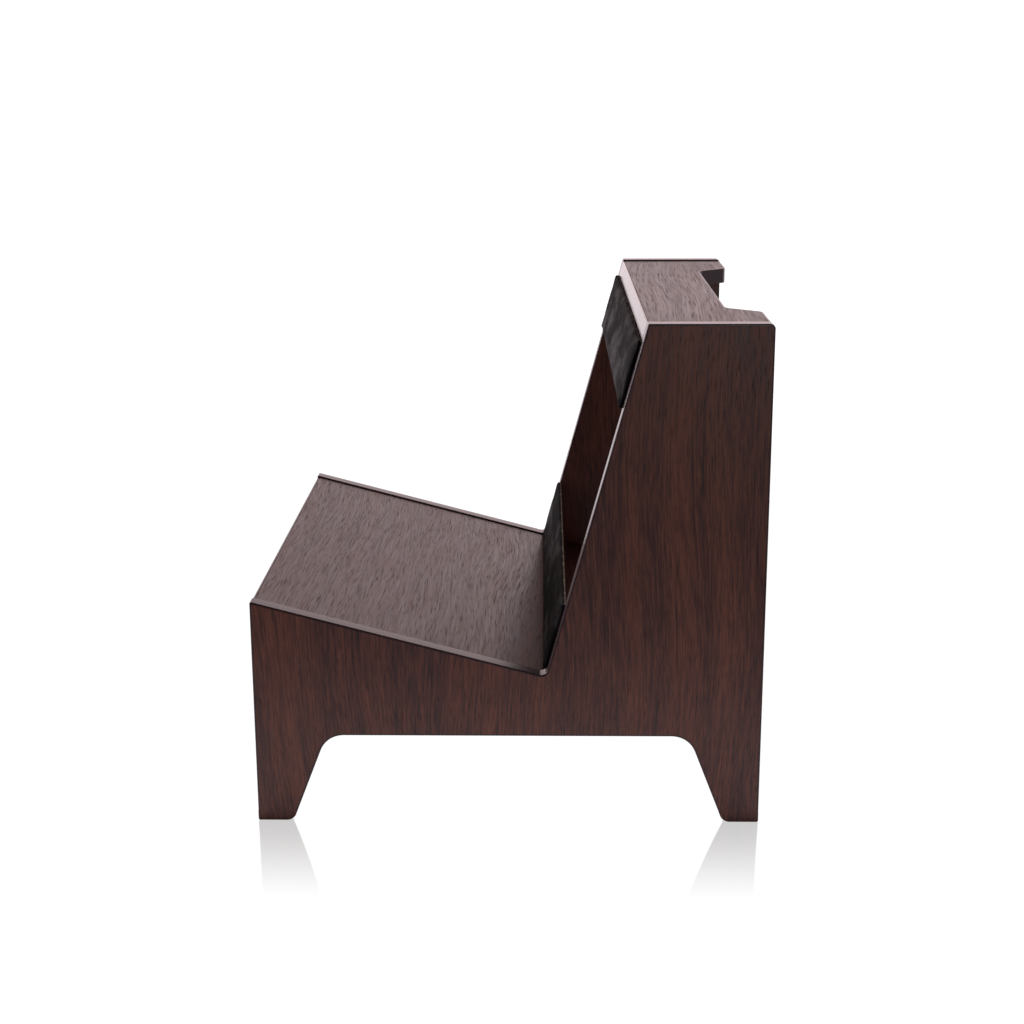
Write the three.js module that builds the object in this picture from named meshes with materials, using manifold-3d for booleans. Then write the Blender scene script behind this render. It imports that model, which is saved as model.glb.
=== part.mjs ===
// Photo album stand: a small chair-shaped display stand of wood-grain laminated board.
// Two side panels on tapered legs carry a sloping seat, a notched top board and a back rail.
// A black covered pad on the rail and one behind the seat take the back of the album.
// Millimetres. +X is the right side as seen from the front, -Y is the front, +Z is up.
// The origin is on the floor, under the centre of the stand.

import * as THREE from "three";
import { mergeVertices } from "three/addons/utils/BufferGeometryUtils.js";
import Module from "manifold-3d";

const wasm = await Module();
wasm.setup();

// Overall sizes
const STAND_WIDTH = 320;
const STAND_DEPTH = 300;
const STAND_HEIGHT = 300;
const BOARD = 10;

// Side profile
const SEAT_SLOPE = THREE.MathUtils.degToRad(14.8);
const BACKREST_LEAN = THREE.MathUtils.degToRad(15.2);
const SEAT_FRONT_HEIGHT = 137.6;
const SEAT_RUN = 172.8;
const SEAT_CORNER_RADIUS = 4;
const TOP_BACK_RADIUS = 3;
const EDGE_CORNER_RADIUS = 1;
const ARCH_HEIGHT = 54.5;
const ARCH_RADIUS = 15;
const FOOT_LENGTH = 21.3;
const LEG_SPLAY = 21.2;
const TOE_RADIUS = 6;

// Boards between the panels
const BOARD_RECESS = 1;
const SEAT_FRONT_SETBACK = 0.5;
const NOTCH_DEPTH = 20;
const NOTCH_HALF_FLOOR = 89;
const NOTCH_FLARE = 16;
const NOTCH_FLOOR_RADIUS = 9;
const NOTCH_MOUTH_RADIUS = 6;
const SEAT_TAIL = 30;
const RAIL_HEIGHT = 40;
const BATTEN_HEIGHT = 8;

// Edging strips
const EDGING = 1;
const EDGING_LIFT = 6;

// Pads
const PAD_THICKNESS = 3.2;
const UPPER_PAD = { name: "upper", height: 40, proud: 2.6 };
const LOWER_PAD = { name: "lower", height: 43, proud: 2.2 };
const COVER_THICKNESS = 0.8;

// Dowels
const DOWEL_RADIUS = 2.5;
const DOWEL_CHAMFER = 0.6;
const PANEL_HOLE_DEPTH = 6.5;
const BOARD_HOLE_DEPTH = 18;
const SEAT_DOWEL_INSET = 30;
const TOP_DOWEL_INSET = 18;
const RAIL_DOWEL_INSET = 10;

// Clearances
const GAP = 0.3;
const SKIN_GAP = 0.1;
const DOWEL_CLEARANCE = 0.2;
const DOWEL_END_ROOM = 1;

// Facets and cutter overhang
const ARC_SEGMENTS = 5;
const ROUND_SEGMENTS = 16;
const OVERHANG = 5;

// Sizes that follow from the ones above
const SIDES = [
  { name: "right", sign: 1 },
  { name: "left", sign: -1 },
];
const INNER_HALF = STAND_WIDTH / 2 - BOARD;
const SPAN = 2 * (INNER_HALF - GAP);
const FRONT = -STAND_DEPTH / 2;
const BACK = STAND_DEPTH / 2;
const CORNER_Y = FRONT + SEAT_RUN;
const CORNER_Z = SEAT_FRONT_HEIGHT - SEAT_RUN * Math.tan(SEAT_SLOPE);
const BACKREST_TOP_Y = CORNER_Y + (STAND_HEIGHT - CORNER_Z) * Math.tan(BACKREST_LEAN);
const TOP_FACE_Z = STAND_HEIGHT - BOARD_RECESS;
const TOP_UNDERSIDE_Z = TOP_FACE_Z - BOARD;
const TOP_REAR_Y = BACK - BOARD_RECESS;

const LAMINATE = { color: 0x3d2c29, roughness: 0.5, metalness: 0 };
const LAMINATE_TOP = { color: 0x5a4a48, roughness: 0.5, metalness: 0 };
const EDGE_STRIP = { color: 0x56494b, roughness: 0.35, metalness: 0 };
const BLACK_LEATHER = { color: 0x1b1a1a, roughness: 0.6, metalness: 0 };
const HARDBOARD = { color: 0x6b4a33, roughness: 0.8, metalness: 0 };
const BEECH = { color: 0xc9a272, roughness: 0.7, metalness: 0 };

// A tilted frame starts at the corner between seat and backrest. In the seat's frame +Y runs
// backwards along the seat, and in the backrest's frame +Z runs up the backrest.
function fromTilted(tilt, { y, z }) {
  return {
    y: CORNER_Y + y * Math.cos(tilt) + z * Math.sin(tilt),
    z: CORNER_Z - y * Math.sin(tilt) + z * Math.cos(tilt),
  };
}

// y of the plane that lies a given distance behind the backrest's front plane, at a height.
function backrestY(height, behind) {
  return CORNER_Y + (height - CORNER_Z) * Math.tan(BACKREST_LEAN) + behind / Math.cos(BACKREST_LEAN);
}

// A corner of an outline that runs anticlockwise. edged tells whether the edge that starts at this
// corner carries an edging strip.
function corner(u, v, radius, edged) {
  return { point: new THREE.Vector2(u, v), radius, edged };
}

function direction(from, to) {
  return to.point.clone().sub(from.point).normalize();
}

function inward(along) {
  return new THREE.Vector2(-along.y, along.x);
}

// A closed shape with each corner rounded by its own radius.
function roundedShape(corners) {
  const shape = new THREE.Shape();
  corners.forEach((here, i) => {
    const before = direction(corners.at(i - 1), here);
    const after = direction(here, corners[(i + 1) % corners.length]);
    const turn = Math.atan2(before.cross(after), before.dot(after));
    const reach = here.radius * Math.tan(Math.abs(turn) / 2);
    const start = here.point.clone().addScaledVector(before, -reach);
    if (i === 0) shape.moveTo(start.x, start.y);
    else shape.lineTo(start.x, start.y);
    if (here.radius > 0) {
      const side = Math.sign(turn);
      const centre = start.clone().addScaledVector(inward(before), side * here.radius);
      const startAngle = Math.atan2(start.y - centre.y, start.x - centre.x);
      shape.absarc(centre.x, centre.y, here.radius, startAngle, startAngle + turn, turn < 0);
    }
  });
  shape.closePath();
  return shape;
}

// The same outline with its edged sides moved in by a depth and its bare sides moved out of the way.
function insetOutline(corners, depth) {
  const offset = (edge) => (edge.edged ? depth : -OVERHANG);
  return corners.map((here, i) => {
    const last = corners.at(i - 1);
    const before = direction(last, here);
    const after = direction(here, corners[(i + 1) % corners.length]);
    const p = here.point.clone().addScaledVector(inward(before), offset(last));
    const q = here.point.clone().addScaledVector(inward(after), offset(here));
    const along = q.clone().sub(p).cross(after) / before.cross(after);
    const met = p.addScaledVector(before, along);
    const grown = before.cross(after) > 0 ? here.radius - depth : here.radius + depth;
    const radius = last.edged && here.edged ? Math.max(grown, 0) : 0;
    return corner(met.x, met.y, radius, here.edged);
  });
}

function extrude(corners, length) {
  return new THREE.ExtrudeGeometry(roundedShape(corners), {
    depth: length,
    bevelEnabled: false,
    curveSegments: ARC_SEGMENTS,
  });
}

// A side outline in y and z, extruded along X and centred on it.
function acrossX(corners, width) {
  const axes = new THREE.Matrix4().makeBasis(
    new THREE.Vector3(0, 1, 0),
    new THREE.Vector3(0, 0, 1),
    new THREE.Vector3(1, 0, 0),
  );
  return extrude(corners, width).translate(0, 0, -width / 2).applyMatrix4(axes);
}

// A plan outline in x and y, extruded upwards between two heights.
function upZ(corners, low, high) {
  return extrude(corners, high - low).translate(0, 0, low);
}

function block(low, high) {
  const size = high.map((value, i) => value - low[i]);
  const middle = high.map((value, i) => (value + low[i]) / 2);
  return new THREE.BoxGeometry(...size).translate(...middle);
}

function solid(geometry) {
  const bare = geometry.clone();
  bare.deleteAttribute("normal");
  bare.deleteAttribute("uv");
  const merged = mergeVertices(bare, 1e-4);
  return new wasm.Manifold(
    new wasm.Mesh({
      numProp: 3,
      vertProperties: merged.attributes.position.array,
      triVerts: new Uint32Array(merged.index.array),
    }),
  );
}

function geometryOf(made) {
  const mesh = made.getMesh();
  const geometry = new THREE.BufferGeometry();
  geometry.setAttribute("position", new THREE.BufferAttribute(mesh.vertProperties, mesh.numProp));
  geometry.setIndex(new THREE.BufferAttribute(mesh.triVerts, 1));
  const faceted = geometry.toNonIndexed();
  faceted.computeVertexNormals();
  return faceted;
}

function piece(name, geometry, look) {
  const mesh = new THREE.Mesh(geometry, new THREE.MeshStandardMaterial(look));
  mesh.name = name;
  return mesh;
}

// A round hole along X with its mouth at x and running on by depth, signed.
function holeAlongX(x, depth, y, z) {
  const radius = DOWEL_RADIUS + DOWEL_CLEARANCE;
  const mouth = x - Math.sign(depth) * OVERHANG;
  const bottom = x + depth;
  const bore = new THREE.CylinderGeometry(radius, radius, Math.abs(bottom - mouth), ROUND_SEGMENTS);
  return solid(bore.rotateZ(Math.PI / 2).translate((mouth + bottom) / 2, y, z));
}

// How far up the backrest's frame the top board's underside lies, at a distance behind its front.
function undersideAt(behind) {
  return (TOP_UNDERSIDE_Z - CORNER_Z) / Math.cos(BACKREST_LEAN) + behind * Math.tan(BACKREST_LEAN);
}

function railSetback({ proud }) {
  return PAD_THICKNESS - proud + GAP;
}

// Dowel centres of each board, in the frame that the board is modelled in: two to an end, each the
// same inset from its edge of the board.
const seatFront = -SEAT_RUN / Math.cos(SEAT_SLOPE);
const seatMiddle = -BOARD_RECESS - BOARD / 2;
const seatDowels = [
  { y: seatFront + SEAT_DOWEL_INSET, z: seatMiddle },
  { y: SEAT_TAIL - SEAT_DOWEL_INSET, z: seatMiddle },
];

const topMiddle = TOP_FACE_Z - BOARD / 2;
const topDowels = [
  { y: BACKREST_TOP_Y + TOP_DOWEL_INSET, z: topMiddle },
  { y: TOP_REAR_Y - TOP_DOWEL_INSET, z: topMiddle },
];

const railFoot = undersideAt(0) - RAIL_HEIGHT;
const railMiddle = railSetback(UPPER_PAD) + BOARD / 2;
const railDowels = [
  { y: railMiddle, z: railFoot + RAIL_DOWEL_INSET },
  { y: railMiddle, z: railFoot + RAIL_HEIGHT - RAIL_DOWEL_INSET },
];

const panelDowelCentres = [
  ...topDowels,
  ...seatDowels.map((centre) => fromTilted(SEAT_SLOPE, centre)),
  ...railDowels.map((centre) => fromTilted(BACKREST_LEAN, centre)),
];

// The side panel's finished outline, edging included, from the front toe round under the arch.
function panelOutline() {
  return [
    corner(FRONT, 0, EDGE_CORNER_RADIUS, false),
    corner(FRONT + FOOT_LENGTH, 0, TOE_RADIUS, true),
    corner(FRONT + FOOT_LENGTH + LEG_SPLAY, ARCH_HEIGHT, ARCH_RADIUS, true),
    corner(BACK - FOOT_LENGTH - LEG_SPLAY, ARCH_HEIGHT, ARCH_RADIUS, true),
    corner(BACK - FOOT_LENGTH, 0, TOE_RADIUS, false),
    corner(BACK, 0, EDGE_CORNER_RADIUS, true),
    corner(BACK, STAND_HEIGHT, TOP_BACK_RADIUS, true),
    corner(BACKREST_TOP_Y, STAND_HEIGHT, EDGE_CORNER_RADIUS, true),
    corner(CORNER_Y, CORNER_Z, SEAT_CORNER_RADIUS, true),
    corner(FRONT, SEAT_FRONT_HEIGHT, EDGE_CORNER_RADIUS, true),
  ];
}

function fullPanel() {
  return solid(acrossX(panelOutline(), BOARD));
}

function insetPanel(depth) {
  return solid(acrossX(insetOutline(panelOutline(), depth), BOARD + 2 * OVERHANG));
}

// Everything lower than a height.
function below(height) {
  const reach = STAND_DEPTH;
  return solid(block([-reach, -reach, -reach], [reach, reach, height]));
}

// The room inside the arch and the inner halves of both legs.
function archZone() {
  const reach = BACK - FOOT_LENGTH / 2;
  const high = ARCH_HEIGHT + 2 * EDGING;
  return solid(block([-BOARD, -reach, -OVERHANG], [BOARD, reach, high]));
}

// The board of a side panel: it gives way to the edging strips, and stands on its own bare toes.
function sidePanel({ name, sign }) {
  const toes = fullPanel().intersect(below(EDGING_LIFT));
  let board = fullPanel().intersect(insetPanel(EDGING + SKIN_GAP)).add(toes);
  const innerFace = (-sign * BOARD) / 2;
  for (const { y, z } of panelDowelCentres) {
    board = board.subtract(holeAlongX(innerFace, sign * PANEL_HOLE_DEPTH, y, z));
  }
  return piece(name + "_side_panel", geometryOf(board), LAMINATE);
}

function panelEdgingRing() {
  return fullPanel().subtract(insetPanel(EDGING)).subtract(below(EDGING_LIFT + SKIN_GAP));
}

// The strip that runs up the front, along the seat, up the backrest, over the top and down the back.
function outerEdging({ name }) {
  return piece(name + "_outer_edging", geometryOf(panelEdgingRing().subtract(archZone())), EDGE_STRIP);
}

// The strip under the arch and down the inside of both legs.
function archEdging({ name }) {
  return piece(name + "_arch_edging", geometryOf(panelEdgingRing().intersect(archZone())), EDGE_STRIP);
}

// A board of the stand's span with dowel holes in both ends.
function drilled(board, dowels) {
  for (const { sign } of SIDES) {
    for (const { y, z } of dowels) {
      board = board.subtract(holeAlongX((sign * SPAN) / 2, -sign * BOARD_HOLE_DEPTH, y, z));
    }
  }
  return geometryOf(board);
}

// Where a vertical plane a given distance behind the stand's front meets a height of the seat's frame.
function seatFrontAt(height, behind) {
  return (behind - SEAT_RUN - height * Math.sin(SEAT_SLOPE)) / Math.cos(SEAT_SLOPE);
}

// The seat in cross-section, from a vertical plane behind the stand's front to a rear end.
function seatSection(frontSetback, rearY) {
  const top = -BOARD_RECESS;
  const bottom = top - BOARD;
  return [
    corner(seatFrontAt(bottom, frontSetback), bottom, 0),
    corner(rearY(bottom), bottom, 0),
    corner(rearY(top), top, 0),
    corner(seatFrontAt(top, frontSetback), top, 0),
  ];
}

function seatBoard() {
  const section = seatSection(SEAT_FRONT_SETBACK + EDGING + SKIN_GAP, () => SEAT_TAIL);
  return piece("seat_board", drilled(solid(acrossX(section, SPAN)), seatDowels), LAMINATE_TOP);
}

function seatFrontEdging() {
  const rear = SEAT_FRONT_SETBACK + EDGING;
  const section = seatSection(SEAT_FRONT_SETBACK, (height) => seatFrontAt(height, rear));
  return piece("seat_front_edging", acrossX(section, SPAN), EDGE_STRIP);
}

// The top board in plan: straight towards the front, with a flared notch in the rear edge.
function topPlan() {
  const half = SPAN / 2;
  const front = backrestY(TOP_UNDERSIDE_Z, 0) - OVERHANG;
  const floorY = TOP_REAR_Y - NOTCH_DEPTH;
  const mouth = NOTCH_HALF_FLOOR + NOTCH_FLARE;
  return [
    corner(-half, front, 0, false),
    corner(half, front, 0, false),
    corner(half, TOP_REAR_Y, 0, true),
    corner(mouth, TOP_REAR_Y, NOTCH_MOUTH_RADIUS, true),
    corner(NOTCH_HALF_FLOOR, floorY, NOTCH_FLOOR_RADIUS, true),
    corner(-NOTCH_HALF_FLOOR, floorY, NOTCH_FLOOR_RADIUS, true),
    corner(-mouth, TOP_REAR_Y, NOTCH_MOUTH_RADIUS, true),
    corner(-half, TOP_REAR_Y, 0, false),
  ];
}

// The top board in cross-section, from a plane behind the backrest's front to a rear end.
function topSection(frontDepth, rearY) {
  return [
    corner(backrestY(TOP_UNDERSIDE_Z, frontDepth), TOP_UNDERSIDE_Z, 0),
    corner(rearY(TOP_UNDERSIDE_Z), TOP_UNDERSIDE_Z, 0),
    corner(rearY(TOP_FACE_Z), TOP_FACE_Z, 0),
    corner(backrestY(TOP_FACE_Z, frontDepth), TOP_FACE_Z, 0),
  ];
}

function topBoard() {
  const section = topSection(EDGING + SKIN_GAP, () => BACK);
  const plan = insetOutline(topPlan(), EDGING + SKIN_GAP);
  const cutter = solid(upZ(plan, TOP_UNDERSIDE_Z - OVERHANG, TOP_FACE_Z + OVERHANG));
  const board = solid(acrossX(section, SPAN)).intersect(cutter);
  return piece("top_board", drilled(board, topDowels), LAMINATE_TOP);
}

function topFrontEdging() {
  const section = topSection(0, (height) => backrestY(height, EDGING));
  return piece("top_front_edging", acrossX(section, SPAN), EDGE_STRIP);
}

// The strip along the top board's rear edge, in and out of the notch.
function topRearEdging() {
  const whole = solid(upZ(topPlan(), TOP_UNDERSIDE_Z, TOP_FACE_Z));
  const inside = insetOutline(topPlan(), EDGING);
  const cutter = solid(upZ(inside, TOP_UNDERSIDE_Z - OVERHANG, TOP_FACE_Z + OVERHANG));
  return piece("top_rear_edging", geometryOf(whole.subtract(cutter)), EDGE_STRIP);
}

// A back rail in cross-section, square to the backrest at its foot.
function railOutline(setback, foot, frontTop, rearTop) {
  return [
    corner(setback, foot, 0),
    corner(setback + BOARD, foot, 0),
    corner(setback + BOARD, rearTop, 0),
    corner(setback, frontTop, 0),
  ];
}

// The upper rail's top is bevelled to lie under the level top board.
function upperRail() {
  const setback = railSetback(UPPER_PAD);
  const tops = [undersideAt(setback) - GAP, undersideAt(setback + BOARD) - GAP];
  const board = solid(acrossX(railOutline(setback, railFoot, ...tops), SPAN));
  return piece("upper_back_rail", drilled(board, railDowels), LAMINATE);
}

// The batten is glued along the tail of the seat, behind the foot of the lower pad.
function padBatten() {
  const foot = GAP - BOARD_RECESS;
  const top = foot + BATTEN_HEIGHT;
  const outline = railOutline(railSetback(LOWER_PAD), foot, top, top);
  return piece("lower_pad_batten", acrossX(outline, SPAN), LAMINATE);
}

// The upper pad hangs under the top board, and the lower one stands on the seat.
function padFoot(pad) {
  return pad === UPPER_PAD ? undersideAt(0) - GAP - pad.height : GAP - BOARD_RECESS;
}

// A box across the stand that lies inside a pad's outer faces by a margin at the front and all round.
function padBlock(pad, margin, rear) {
  const half = SPAN / 2 - margin;
  const foot = padFoot(pad) + margin;
  const top = padFoot(pad) + pad.height - margin;
  return block([-half, margin - pad.proud, foot], [half, rear, top]);
}

// The cover is wrapped over the front and the four edges of its slat and is cut off flush at the back.
function padCover(pad) {
  const rear = PAD_THICKNESS - pad.proud;
  const pocket = solid(padBlock(pad, COVER_THICKNESS, rear + OVERHANG));
  const shell = solid(padBlock(pad, 0, rear)).subtract(pocket);
  return piece(pad.name + "_pad_cover", geometryOf(shell), BLACK_LEATHER);
}

function padSlat(pad) {
  const slat = padBlock(pad, COVER_THICKNESS + SKIN_GAP, PAD_THICKNESS - pad.proud);
  return piece(pad.name + "_pad_slat", slat, HARDBOARD);
}

// A dowel peg with chamfered ends, lying along X, half in a board and half in its panel.
function dowel(name, sign, { y, z }) {
  const half = (PANEL_HOLE_DEPTH + BOARD_HOLE_DEPTH) / 2 - DOWEL_END_ROOM;
  const profile = [
    new THREE.Vector2(0, -half),
    new THREE.Vector2(DOWEL_RADIUS - DOWEL_CHAMFER, -half),
    new THREE.Vector2(DOWEL_RADIUS, DOWEL_CHAMFER - half),
    new THREE.Vector2(DOWEL_RADIUS, half - DOWEL_CHAMFER),
    new THREE.Vector2(DOWEL_RADIUS - DOWEL_CHAMFER, half),
    new THREE.Vector2(0, half),
  ];
  const peg = piece(name, new THREE.LatheGeometry(profile, ROUND_SEGMENTS), BEECH);
  peg.rotation.z = Math.PI / 2;
  peg.position.set(sign * (INNER_HALF + (PANEL_HOLE_DEPTH - BOARD_HOLE_DEPTH) / 2), y, z);
  return peg;
}

function dowels(board, centres) {
  return SIDES.flatMap(({ name, sign }) =>
    centres.map((centre, i) => dowel(`${name}_${board}_dowel_${i + 1}`, sign, centre)),
  );
}

function sideGroup(side) {
  const group = new THREE.Group();
  group.add(sidePanel(side), outerEdging(side), archEdging(side));
  group.position.x = side.sign * (STAND_WIDTH / 2 - BOARD / 2);
  return group;
}

function tiltedGroup(tilt, pieces) {
  const group = new THREE.Group();
  group.add(...pieces);
  group.position.set(0, CORNER_Y, CORNER_Z);
  group.rotation.x = -tilt;
  return group;
}

function seatPieces() {
  return [seatBoard(), seatFrontEdging(), ...dowels("seat", seatDowels)];
}

function backrestPieces() {
  const pads = [UPPER_PAD, LOWER_PAD].flatMap((pad) => [padCover(pad), padSlat(pad)]);
  return [upperRail(), padBatten(), ...pads, ...dowels("rail", railDowels)];
}

const stand = new THREE.Group();
stand.add(...SIDES.map(sideGroup));
stand.add(topBoard(), topFrontEdging(), topRearEdging(), ...dowels("top", topDowels));
stand.add(tiltedGroup(SEAT_SLOPE, seatPieces()), tiltedGroup(BACKREST_LEAN, backrestPieces()));

export default stand;
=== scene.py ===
"""Photo album stand: finishes, softened edges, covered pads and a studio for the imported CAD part.

Metres, in the part's own frame: +X is the right side as seen from the front, -Y is the front, +Z is up.
"""

import math
from typing import NamedTuple

import bmesh
import bpy
from bpy.props import FloatProperty, FloatVectorProperty, IntProperty, PointerProperty
from mathutils import Matrix, Vector
from mathutils.bvhtree import BVHTree


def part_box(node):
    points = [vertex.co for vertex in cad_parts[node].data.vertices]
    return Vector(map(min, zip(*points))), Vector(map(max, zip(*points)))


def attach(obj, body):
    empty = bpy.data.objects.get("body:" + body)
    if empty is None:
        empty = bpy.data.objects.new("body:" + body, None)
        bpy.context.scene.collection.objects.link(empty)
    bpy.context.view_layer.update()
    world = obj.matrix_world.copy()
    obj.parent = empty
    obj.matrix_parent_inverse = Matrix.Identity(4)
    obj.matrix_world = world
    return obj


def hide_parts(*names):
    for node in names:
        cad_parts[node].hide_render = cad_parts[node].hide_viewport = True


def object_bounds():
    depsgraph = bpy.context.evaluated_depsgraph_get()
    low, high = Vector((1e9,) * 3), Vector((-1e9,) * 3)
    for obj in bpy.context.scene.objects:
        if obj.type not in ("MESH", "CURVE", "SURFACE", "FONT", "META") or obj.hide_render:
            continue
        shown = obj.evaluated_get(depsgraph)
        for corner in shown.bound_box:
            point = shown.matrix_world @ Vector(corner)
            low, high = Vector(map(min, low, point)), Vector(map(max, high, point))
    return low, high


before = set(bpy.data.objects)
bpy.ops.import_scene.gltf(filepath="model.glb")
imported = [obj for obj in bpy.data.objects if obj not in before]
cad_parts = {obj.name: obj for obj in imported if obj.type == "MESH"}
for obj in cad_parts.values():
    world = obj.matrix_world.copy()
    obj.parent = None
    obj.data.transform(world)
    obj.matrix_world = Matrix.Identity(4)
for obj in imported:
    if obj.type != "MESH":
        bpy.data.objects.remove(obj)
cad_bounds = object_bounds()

bl_info = {
    "name": "Photo Album Stand",
    "version": (1, 0, 0),
    "blender": (4, 5, 0),
    "location": "3D View > Sidebar > Album Stand",
    "description": "Finishes and pads of a chair-shaped stand for a photo album",
    "category": "Object",
}

MM = 0.001
SIDES = ("right", "left")
LEVELS = ("upper", "lower")
DOWELLED = ("seat", "top", "rail")
DOWEL_NUMBERS = (1, 2)

# Measures of the stand that the frame doesn't give.
BACKREST_LEAN = math.radians(15.2)
FOOT_LENGTH = 21.3 * MM
LEG_SPLAY = math.radians(21.2)

# How a node's triangles are welded, which of its edges are rounded, and which stay sharp to the shading.
WELD = 0.01 * MM
FLAT = math.radians(0.5)
CORNER = math.radians(35)
BOARD_SHARP = math.radians(40)
PAD_SHARP = math.radians(60)
EVEN_WEIGHT = 100
SAME_PLACE = 0.01 * MM
PANEL_REACH = 1.0 * MM
LONG_EDGE = 30 * MM
STRIP_EDGE = 2 * MM
STRIP_ARRIS = 0.3 * MM
BOARD_SEGMENTS = 2
EDGING_SEGMENTS = 3
FOLD_SEGMENTS = 4
SLICE_TOLERANCE = 1e-7

# How the pad's cover settles: the share of its depth that is glued, and the cloth's settings.
GLUED_SHARE = 0.2
CROWN_SHARE = 0.5
COVER_PRESSURE = 4.0
COVER_QUALITY = 6
COVER_STRETCH = 25.0
COVER_BENDING = 2.0

# How far the cover's frayed edge reaches down from the top, in from the back and in from the right end.
FRAY_DOWN = 0.4 * MM
FRAY_BACK = 0.9 * MM
FRAY_END = 0.4 * MM


def linear(code):
    """An sRGB hex colour as linear red, green and blue."""
    channels = [int(code[i : i + 2], 16) / 255 for i in (1, 3, 5)]
    return tuple(c / 12.92 if c <= 0.04045 else ((c + 0.055) / 1.055) ** 2.4 for c in channels)


class AlbumStandColours(bpy.types.PropertyGroup):
    """Colours of the boards, edging, pads, hidden parts and floor."""

    board_light: FloatVectorProperty(
        name="Board light",
        description="Pale early wood of the printed grain",
        subtype="COLOR",
        default=linear("#7E4B3A"),
    )
    board_dark: FloatVectorProperty(
        name="Board dark",
        description="Dark late wood of the printed grain",
        subtype="COLOR",
        default=linear("#432829"),
    )
    board_pore: FloatVectorProperty(
        name="Board pores",
        description="Near-black pores and mineral streaks",
        subtype="COLOR",
        default=linear("#1F1315"),
    )
    edging: FloatVectorProperty(
        name="Edging",
        description="Plastic edging strip",
        subtype="COLOR",
        default=linear("#4A3438"),
    )
    edging_streak: FloatVectorProperty(
        name="Edging streaks",
        description="Streaks printed along the edging",
        subtype="COLOR",
        default=linear("#38262B"),
    )
    cover: FloatVectorProperty(
        name="Pad cover",
        description="Black covering of the pads",
        subtype="COLOR",
        default=linear("#141313"),
    )
    cover_scuff: FloatVectorProperty(
        name="Pad scuffs",
        description="Greyed, rubbed patches of the covering",
        subtype="COLOR",
        default=linear("#292627"),
    )
    backing: FloatVectorProperty(
        name="Cover backing",
        description="Pale backing that shows where the cut edge is frayed",
        subtype="COLOR",
        default=linear("#D6C9B6"),
    )
    hardboard: FloatVectorProperty(
        name="Hardboard",
        description="Bare pressed fibre of the pad slats",
        subtype="COLOR",
        default=linear("#6E4E38"),
    )
    beech: FloatVectorProperty(
        name="Beech",
        description="Bare beech of the dowels",
        subtype="COLOR",
        default=linear("#C79F74"),
    )
    floor: FloatVectorProperty(
        name="Floor",
        description="Studio floor",
        subtype="COLOR",
        default=linear("#FFFFFF"),
    )


class AlbumStandSizes(bpy.types.PropertyGroup):
    """Small sizes that finish the boards and pads."""

    board_arris: FloatProperty(
        name="Board arris",
        description="Radius on the long edges of the boards",
        unit="LENGTH",
        default=0.3 * MM,
    )
    edging_arris: FloatProperty(
        name="Edging arris",
        description="Radius scraped along the edging's long edges",
        unit="LENGTH",
        default=0.8 * MM,
    )
    pad_arris: FloatProperty(
        name="Pad arris",
        description="Radius where the cover folds round the slat",
        unit="LENGTH",
        default=1.1 * MM,
    )
    pad_swell: FloatProperty(
        name="Pad swell",
        description="Most that the pad's face may rise",
        unit="LENGTH",
        default=0.5 * MM,
    )
    pad_cell: FloatProperty(
        name="Pad cell",
        description="Size of the cloth's cells",
        unit="LENGTH",
        default=2.5 * MM,
    )
    settle_frames: IntProperty(
        name="Settle frames",
        description="Frames that the cover is left to settle",
        default=20,
    )


class AlbumStandStudio(bpy.types.PropertyGroup):
    """Camera and light."""

    lens: FloatProperty(
        name="Lens",
        description="Focal length on a 36 mm sensor, in millimetres",
        default=59.96,
    )
    camera_place: FloatVectorProperty(
        name="Camera place",
        description="Where the camera stands",
        subtype="TRANSLATION",
        unit="LENGTH",
        default=(1.1019, 0.0212, 0.4437),
    )
    camera_turn: FloatVectorProperty(
        name="Camera turn",
        description="Yaw from straight across, pitch down and roll",
        subtype="EULER",
        default=(math.radians(1.092), math.radians(14.957), math.radians(-0.207)),
    )
    surround: FloatProperty(
        name="Surround",
        description="Brightness of the backdrop as the boards reflect it",
        default=1.5,
    )
    key_power: FloatProperty(
        name="Key power",
        description="Power of the small soft box behind the camera, in watts",
        default=2.4,
    )
    fill_power: FloatProperty(
        name="Fill power",
        description="Power of the large soft box at the front, in watts",
        default=16.0,
    )
    mirror: FloatProperty(
        name="Floor mirror",
        description="Share of the floor's brightness that is reflection",
        subtype="FACTOR",
        default=0.42,
    )


class AlbumStandSettings(bpy.types.PropertyGroup):
    """Everything that a user may change."""

    colours: PointerProperty(type=AlbumStandColours)
    sizes: PointerProperty(type=AlbumStandSizes)
    studio: PointerProperty(type=AlbumStandStudio)


# ---------------------------------------------------------------- shader nodes


MATH = "ShaderNodeMath"
RAMP = "ShaderNodeMapRange"
MIX = "ShaderNodeMix"
SPLIT = "ShaderNodeSeparateXYZ"
COORDS = "ShaderNodeTexCoord"
SHADER = "ShaderNodeBsdfPrincipled"
BUMP = "ShaderNodeBump"
PATH = "ShaderNodeLightPath"

SUM = {"operation": "ADD"}
DIFFERENCE = {"operation": "SUBTRACT"}
PRODUCT = {"operation": "MULTIPLY"}
GREATER = {"operation": "MAXIMUM"}
MAGNITUDE = {"operation": "ABSOLUTE"}
EASED = {"interpolation_type": "SMOOTHSTEP"}
IN_COLOUR = {"data_type": "RGBA"}
NOISE_MIDDLE = 0.5


def add(tree, kind, settings=None, inputs=()):
    """Adds one node, sets its properties, fills its inputs with values or sockets, and gives its outputs."""
    made = tree.nodes.new(kind)
    for name, value in (settings or {}).items():
        setattr(made, name, value)
    for key, value in inputs.items() if isinstance(inputs, dict) else enumerate(inputs):
        if isinstance(value, bpy.types.NodeSocket):
            tree.links.new(value, made.inputs[key])
        else:
            made.inputs[key].default_value = value
    return made.outputs


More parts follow.
